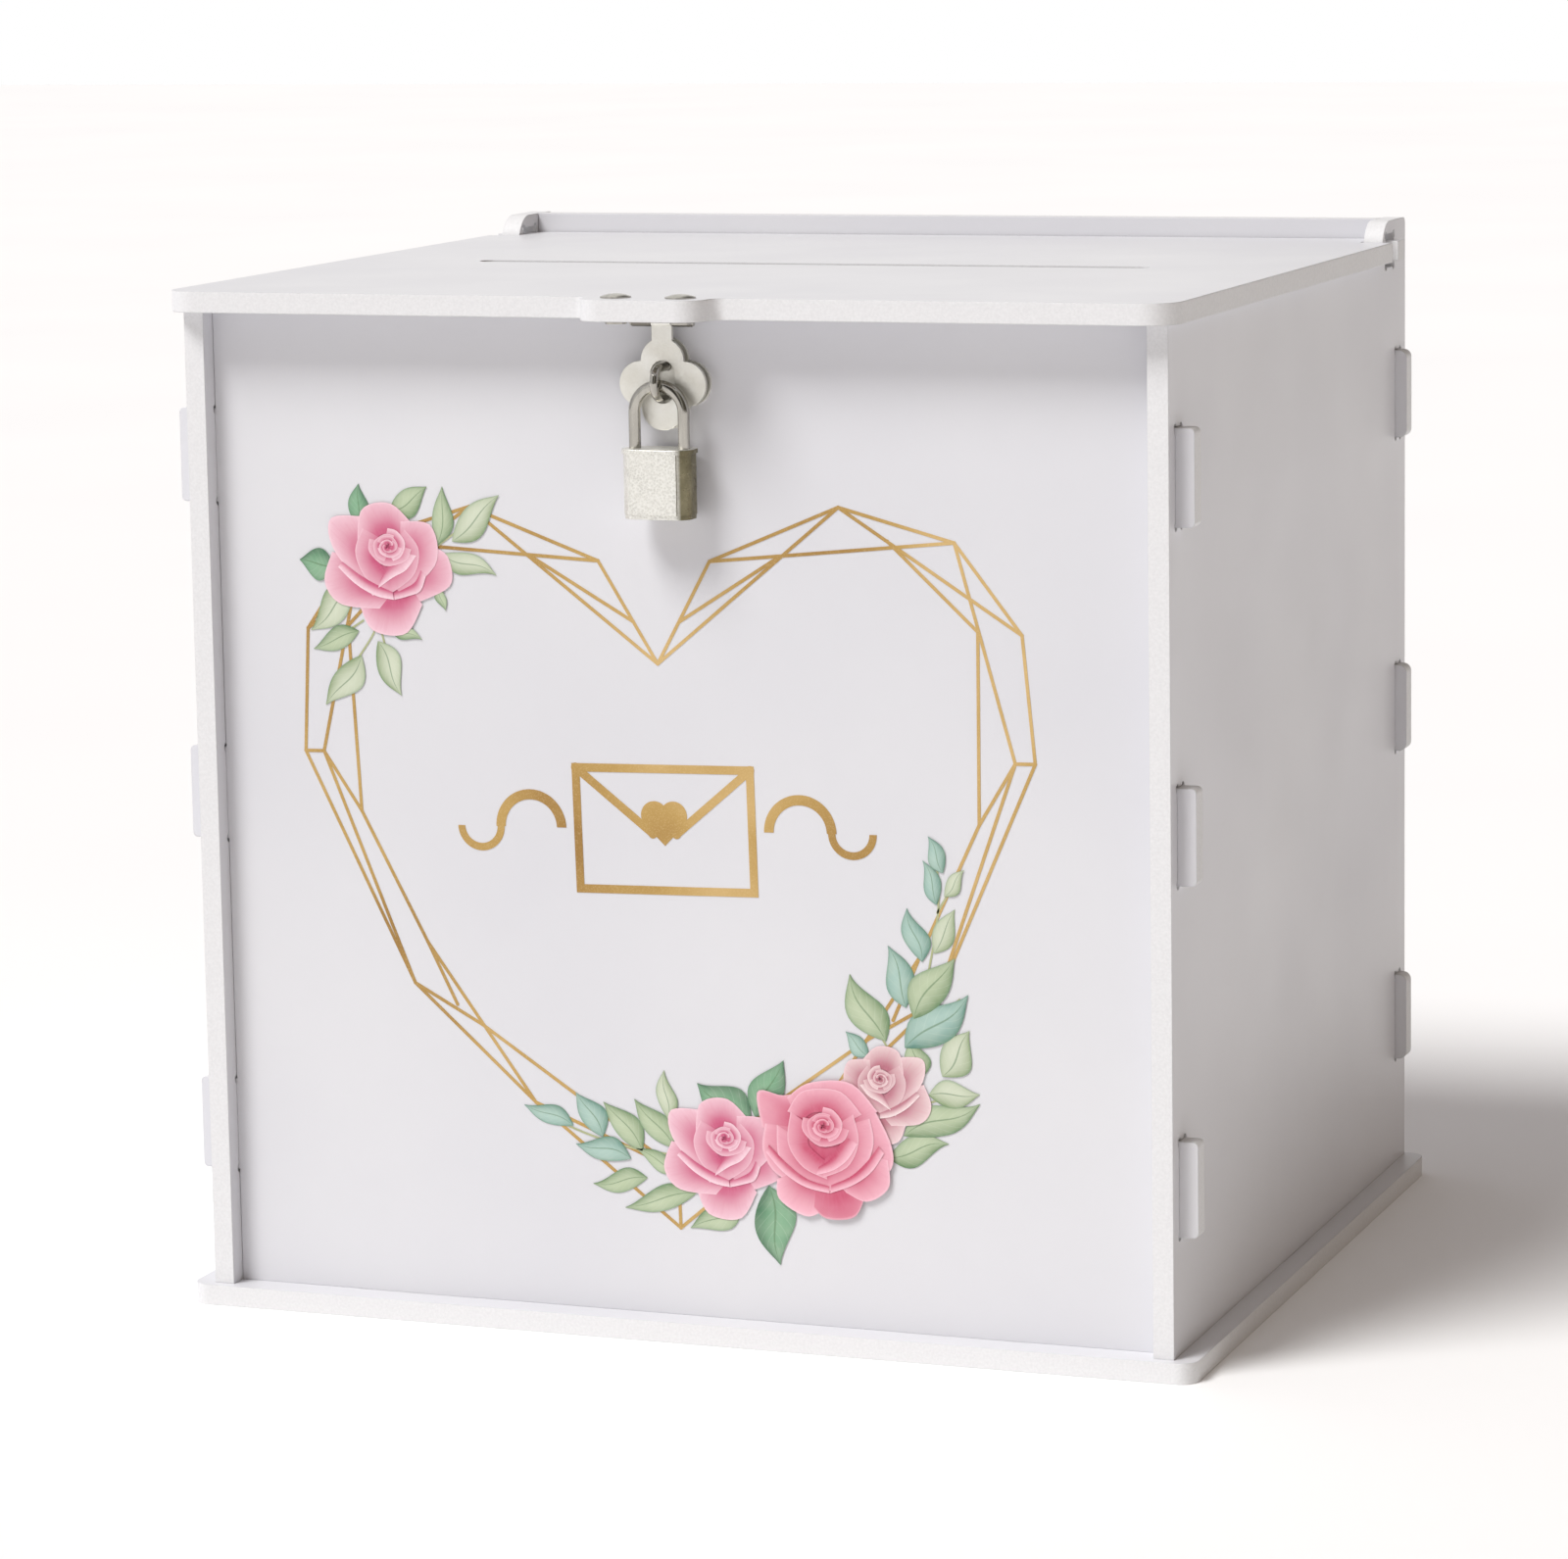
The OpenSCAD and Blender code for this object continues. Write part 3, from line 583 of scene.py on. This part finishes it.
def add_leaves(name, leaves, stems, material, node):
    films = Films()
    picker = random.Random(7)
    for k, path in enumerate(stems):
        low = STEM_LOW + 0.012 * (k % 3)
        grid = stem_grid(smooth(path), STEM_BREADTH)
        films.sheet(grid, low, low + STEM_THICK, lambda u, v: STEM_GREEN)
    for k, (base, tip, breadth, shade) in enumerate(leaves):
        low = LEAF_LOW + LEAF_STEP * (k % 6)
        bend = picker.uniform(-0.07, 0.07)
        curl = picker.choice((-1, 1)) * picker.uniform(0.02, 0.05)
        grid = leaf_grid(base, tip, breadth, bend, curl)
        films.sheet(grid, low, low + LEAF_THICK, leaf_ink_of(shade))
    films.build(name, material, node)


# ---------------------------------------------------------------- roses


def petal_colour(deep, light, start):
    """Deep until start, then lighter towards the rim."""

    def ink(u, v):
        t = max(0.0, (u - start) / (1 - start)) ** 0.75
        side = 0.10 * math.cos(2 * math.pi * v)
        return blend(deep, light, min(1.0, max(0.0, t + side * (1 - t))))

    return ink


def between_points(four, t):
    """Catmull-Rom point at t between the second and the third of four points."""
    return tuple(
        0.5
        * (
            2 * q
            + (r - p) * t
            + (2 * p - 5 * q + 4 * r - w) * t * t
            + (3 * q - p - 3 * r + w) * t**3
        )
        for p, q, r, w in zip(*four)
    )


def curve(points, count):
    """Points at even steps along a smooth line through the given ones."""
    ends = [points[0], *points, points[-1]]
    spans = len(points) - 1
    line = []
    for k in range(count):
        place = min(k / (count - 1) * spans, spans - 1e-6)
        i = int(place)
        line.append(between_points(ends[i : i + 4], place - i))
    return line


def loft(base, rim, middle, size):
    """Grid from a petal's base line to its rim line, both in units of the rose's size."""
    low, high = curve(base, 17), curve(rim, 17)
    return [
        [
            tuple(m + s * (p + (q - p) * t) for m, s, p, q in zip(middle, size, start, end))
            for start, end in zip(low, high)
        ]
        for t in (0, 0.15, 0.3, 0.45, 0.6, 0.75, 0.9, 1)
    ]


def swirl(centre, reach, turn, sweep, thick):
    """Base and rim lines of one curled petal in the rose's heart."""

    def arc(r, shrink):
        return [
            (
                centre[0] + r * math.cos(turn + sweep * k / 4),
                centre[1] + r * 0.86 * math.sin(turn + sweep * k / 4),
            )
            for k in (shrink, 1, 2, 3, 4 - shrink)
        ]

    return arc(reach * (1 - thick), 0), arc(reach, 0.35)


# Petals of the open rose from back to front: base line, rim line, shade at the rim
OPEN_PETALS = [
    (
        [(0.4, 0.25), (0.5, 0), (0.4, -0.2), (0.1, -0.35)],
        [(0.72, 0.35), (0.98, 0.18), (1.0, -0.25), (0.5, -0.5)],
        0.9,
    ),
    (
        [(-0.4, -0.4), (-0.1, -0.42), (0.15, -0.42), (0.4, -0.38)],
        [(-0.52, -0.6), (-0.32, -0.96), (0.22, -1.0), (0.52, -0.55)],
        1.0,
    ),
    (
        [(-0.7, 0.2), (-0.5, -0.1), (-0.3, -0.3), (0, -0.4)],
        [(-0.95, 0.25), (-1.1, -0.2), (-0.85, -0.55), (-0.2, -0.62)],
        0.95,
    ),
    (
        [(-0.35, 0.5), (-0.42, 0.2), (-0.25, -0.1), (0, -0.3)],
        [(-0.42, 0.8), (-0.95, 0.76), (-0.9, 0.25), (-0.3, -0.42)],
        1.0,
    ),
    (
        [(-0.3, 0.2), (-0.15, 0.5), (0.1, 0.5), (0.25, 0.4)],
        [(-0.52, 0.35), (-0.42, 0.9), (0.05, 1.0), (0.42, 0.68)],
        0.9,
    ),
    (
        [(0.2, 0.4), (0.35, 0.3), (0.3, 0), (0.05, -0.25)],
        [(0.22, 0.72), (0.72, 0.66), (0.78, 0.08), (0.2, -0.42)],
        0.9,
    ),
    (
        [(-0.1, 0.45), (-0.2, 0.2), (-0.1, 0), (0, -0.1)],
        [(-0.42, 0.62), (-0.56, 0.25), (-0.4, -0.15), (0, -0.42)],
        0.7,
    ),
    (
        [(0.1, 0.4), (0.25, 0.25), (0.15, 0), (0, -0.1)],
        [(0.28, 0.6), (0.5, 0.3), (0.4, -0.1), (-0.02, -0.4)],
        0.7,
    ),
    (
        [(-0.78, 0.1), (-0.5, -0.1), (-0.2, -0.26), (0.04, -0.36)],
        [(-0.86, 0.02), (-0.58, -0.24), (-0.25, -0.42), (0.05, -0.48)],
        1.3,
    ),
    (
        [(0.52, -0.02), (0.42, -0.2), (0.25, -0.3), (0.06, -0.38)],
        [(0.6, -0.12), (0.5, -0.34), (0.3, -0.42), (0.06, -0.48)],
        1.2,
    ),
    (
        [(0.3, 0.24), (0.1, 0.14), (-0.05, 0), (-0.16, -0.18)],
        [(0.46, 0.2), (0.28, -0.02), (0.05, -0.14), (-0.2, -0.3)],
        1.25,
    ),
]


# Petals of the full rose from back to front
FULL_PETALS = [
    (
        [(-0.35, 0.1), (-0.3, 0.35), (-0.2, 0.5), (0, 0.55)],
        [(-0.95, 0.3), (-1.0, 0.82), (-0.62, 0.78), (-0.3, 0.85)],
        0.8,
    ),
    (
        [(0.3, 0.4), (0.35, 0.1), (0.3, -0.2), (0.1, -0.4)],
        [(0.7, 0.76), (1.0, 0.15), (0.98, -0.25), (0.55, -0.5)],
        0.95,
    ),
    (
        [(-0.3, 0.3), (-0.35, 0), (-0.25, -0.2), (0, -0.4)],
        [(-0.9, 0.36), (-0.95, -0.05), (-0.72, -0.4), (-0.25, -0.5)],
        0.9,
    ),
    (
        [(-0.4, 0.45), (-0.1, 0.55), (0.2, 0.55), (0.4, 0.4)],
        [(-0.55, 0.75), (-0.2, 0.98), (0.42, 1.0), (0.82, 0.6)],
        0.95,
    ),
    (
        [(-0.5, -0.35), (-0.3, -0.4), (-0.1, -0.45), (0.1, -0.45)],
        [(-0.75, -0.45), (-0.72, -0.75), (-0.3, -0.98), (0.05, -0.8)],
        1.15,
    ),
    (
        [(-0.15, -0.5), (0.05, -0.5), (0.25, -0.5), (0.45, -0.45)],
        [(-0.2, -0.85), (0.0, -1.0), (0.42, -0.95), (0.6, -0.6)],
        0.45,
    ),
    (
        [(0.1, -0.4), (0.3, -0.35), (0.5, -0.2), (0.55, 0)],
        [(0.3, -0.6), (0.62, -0.72), (0.95, -0.5), (0.95, -0.1)],
        1.0,
    ),
    (
        [(-0.3, 0.1), (-0.3, -0.1), (-0.15, -0.25), (0.05, -0.3)],
        [(-0.72, 0.35), (-0.7, -0.15), (-0.4, -0.45), (0.05, -0.62)],
        0.9,
    ),
    (
        [(0.25, 0.35), (0.32, 0.1), (0.25, -0.1), (0.05, -0.3)],
        [(0.7, 0.5), (0.74, 0.1), (0.5, -0.35), (0.02, -0.6)],
        0.95,
    ),
    (
        [(-0.3, 0.45), (-0.15, 0.55), (0.1, 0.55), (0.3, 0.4)],
        [(-0.55, 0.55), (-0.3, 0.86), (0.25, 0.88), (0.58, 0.55)],
        0.9,
    ),
    (
        [(-0.2, 0.35), (-0.25, 0.1), (-0.12, -0.05), (0, -0.15)],
        [(-0.5, 0.55), (-0.56, 0.1), (-0.35, -0.25), (0.02, -0.42)],
        0.8,
    ),
    (
        [(0.15, 0.35), (0.25, 0.15), (0.15, 0), (0, -0.12)],
        [(0.45, 0.55), (0.52, 0.15), (0.34, -0.22), (-0.05, -0.4)],
        0.85,
    ),
    (
        [(-0.85, 0.05), (-0.6, -0.2), (-0.3, -0.42), (0.05, -0.52)],
        [(-0.9, -0.06), (-0.65, -0.34), (-0.33, -0.54), (0.04, -0.62)],
        1.3,
    ),
    (
        [(0.82, 0.1), (0.62, -0.15), (0.38, -0.36), (0.08, -0.5)],
        [(0.9, 0.0), (0.7, -0.28), (0.42, -0.48), (0.06, -0.62)],
        1.25,
    ),
    (
        [(0.36, 0.2), (0.2, 0.02), (0.05, -0.14), (-0.1, -0.24)],
        [(0.5, 0.12), (0.34, -0.12), (0.12, -0.28), (-0.14, -0.36)],
        1.25,
    ),
]

# A round bed that closes the gaps between the petals: lower line, upper line
BED = (
    [(-0.58, -0.08), (-0.35, -0.45), (0.35, -0.45), (0.58, -0.08)],
    [(-0.58, 0.12), (-0.38, 0.56), (0.38, 0.56), (0.58, 0.12)],
)


# The curled petals in a rose's heart, in units of the rose's size
HEART_PETALS = 9
HEART_REACH = 0.36
HEART_SHRINK = 0.83


def put_petal(films, grid, depth, deep, light, start=0.2):
    """Lays one petal at the given depth and returns the depth of the next."""
    films.sheet(grid, depth, depth + PETAL_THICK, petal_colour(deep, light, start))
    return depth + PETAL_STEP


def add_rose(name, petals, middle, size, heart, ink, low, material):
    """Rose seen from above its rim, with curled petals round an off-centre heart."""
    films = Films()
    deep, light = ink
    depth = put_petal(films, loft(*BED, middle, size), low, deep, deep)
    for base, rim, shade in petals:
        tone = blend(deep, light, shade)
        depth = put_petal(films, loft(base, rim, middle, size), depth, deep, tone)
    for k in range(HEART_PETALS):
        centre = (0.025 * math.cos(2.1 * k), heart + 0.025 * math.sin(2.1 * k))
        reach, turn = HEART_REACH * HEART_SHRINK**k, 2.4 + 2.3 * k
        base, rim = swirl(centre, reach, turn, 3.4 if k % 2 else 4.1, 0.62)
        tone = blend(deep, light, 1.1 if k % 2 else 0.85)
        depth = put_petal(films, loft(base, rim, middle, size), depth, deep, tone, 0.35)
    films.build(name, material, name + "_print")


# Deep and light colour of each kind of rose
PINK = ((0.56, 0.07, 0.18), (0.88, 0.60, 0.68))
ROSY = ((0.54, 0.04, 0.12), (0.87, 0.46, 0.55))
PALE_PINK = ((0.44, 0.13, 0.18), (0.85, 0.68, 0.68))

# name, petals, middle, size, height of the heart, colours, lowest film, slot
ROSES = [
    ("top_rose", OPEN_PETALS, (-67.5, 73.5), (15.6, 15.6), 0.34, PINK, ROSE_LOW, "pink_ink"),
    ("left_rose", OPEN_PETALS, (12.3, -66.3), (14.4, 14.4), 0.34, PINK, ROSE_LOW, "pink_ink"),
    ("pale_rose", OPEN_PETALS, (51.8, -49.5), (-11.2, 11.6), 0.34, PALE_PINK, ROSE_LOW, "pink_ink"),
    (
        "middle_rose",
        FULL_PETALS,
        (37.5, -63.2),
        (16.4, 16.4),
        0.36,
        ROSY,
        FRONT_ROSE_LOW,
        "deep_pink_ink",
    ),
]


def add_print():
    leaves = leaf_ink()
    petals = petal_ink()
    add_leaves("top_leaves", TOP_LEAVES, TOP_STEMS, leaves, "top_leaves_print")
    add_leaves("bottom_leaves", BOTTOM_LEAVES, BOTTOM_STEMS, leaves, "bottom_leaves_print")
    for name, shape, middle, size, heart, ink, low, slot in ROSES:
        add_rose(name, shape, middle, size, heart, ink, low, petals)


# ---------------------------------------------------------------- studio


SUN_FROM = (-0.35, -0.5, 0.85)
SUN_STRENGTH = 2.6
SKY_LEFT = (0.59, 0.59, 0.63)
SKY_RIGHT = (0.21, 0.155, 0.10)

# What shiny parts reflect, from left to right
REFLECTED_BANDS = [
    (0.0, (0.55, 0.55, 0.56)),
    (0.36, (0.98, 0.97, 0.95)),
    (0.42, (0.05, 0.045, 0.04)),
    (0.60, (0.03, 0.027, 0.024)),
    (0.66, (0.60, 0.58, 0.54)),
    (0.80, (0.12, 0.11, 0.09)),
    (1.0, (0.10, 0.09, 0.07)),
]


def add_floor():
    bpy.ops.mesh.primitive_plane_add(size=14, location=(0, 0, 0))
    floor = bpy.context.object
    floor.name = "floor"
    s = Shader("studio_floor", Roughness=0.7, Specular_IOR_Level=0.0)
    tone = s.between(s.noise(3, 2), 0.3, 0.7)
    s.colour(s.mix(tone, rgba((0.93, 0.93, 0.935)), rgba((0.95, 0.95, 0.95))))
    floor.data.materials.append(s.mat)


def add_sun():
    data = bpy.data.lights.new("key", "SUN")
    data.energy = SUN_STRENGTH
    data.angle = math.radians(24)
    data.color = (1.0, 0.995, 0.985)
    lamp = bpy.data.objects.new("key", data)
    lamp.rotation_euler = (-Vector(SUN_FROM)).to_track_quat("-Z", "Y").to_euler()
    bpy.context.collection.objects.link(lamp)


def sky_ramp(nodes, links, direction, stops):
    """Colour of the studio by how far to the right a ray points."""
    ramp = nodes.new("ShaderNodeValToRGB")
    elements = ramp.color_ramp.elements
    while len(elements) < len(stops):
        elements.new(0.5)
    for element, (position, colour) in zip(elements, stops):
        element.position = position
        element.color = (*colour, 1)
    links.new(direction, ramp.inputs[0])
    return ramp.outputs[0]


def pick(nodes, links, chooser, otherwise, chosen):
    """One colour for the rays that chooser marks, the other for the rest."""
    node = nodes.new("ShaderNodeMix")
    node.data_type = "RGBA"
    links.new(chooser, node.inputs[0])
    links.new(otherwise, node.inputs[6])
    if isinstance(chosen, bpy.types.NodeSocket):
        links.new(chosen, node.inputs[7])
    else:
        node.inputs[7].default_value = chosen
    return node.outputs[2]


def add_world():
    """Soft sky, warmer and dimmer on the right; reflections see dark bands in it."""
    world = bpy.data.worlds.new("studio")
    world.use_nodes = True
    nodes, links = world.node_tree.nodes, world.node_tree.links
    where = nodes.new("ShaderNodeTexCoord")
    split = nodes.new("ShaderNodeSeparateXYZ")
    place = nodes.new("ShaderNodeMapRange")
    place.inputs["From Min"].default_value = -1.0
    links.new(where.outputs["Generated"], split.inputs[0])
    links.new(split.outputs["X"], place.inputs["Value"])
    soft = sky_ramp(nodes, links, place.outputs[0], [(0, SKY_LEFT), (1, SKY_RIGHT)])
    banded = sky_ramp(nodes, links, place.outputs[0], REFLECTED_BANDS)
    ray = nodes.new("ShaderNodeLightPath")
    lit = pick(nodes, links, ray.outputs["Is Glossy Ray"], soft, banded)
    seen = pick(nodes, links, ray.outputs["Is Camera Ray"], lit, (1, 1, 1, 1))
    links.new(seen, nodes["Background"].inputs["Color"])
    bpy.context.scene.world = world


def add_studio():
    add_floor()
    add_sun()
    add_world()
    view = bpy.context.scene.view_settings
    view.view_transform = "Standard"


# ---------------------------------------------------------------- build


add_camera()
paint_cad_nodes()
add_print()
add_studio()
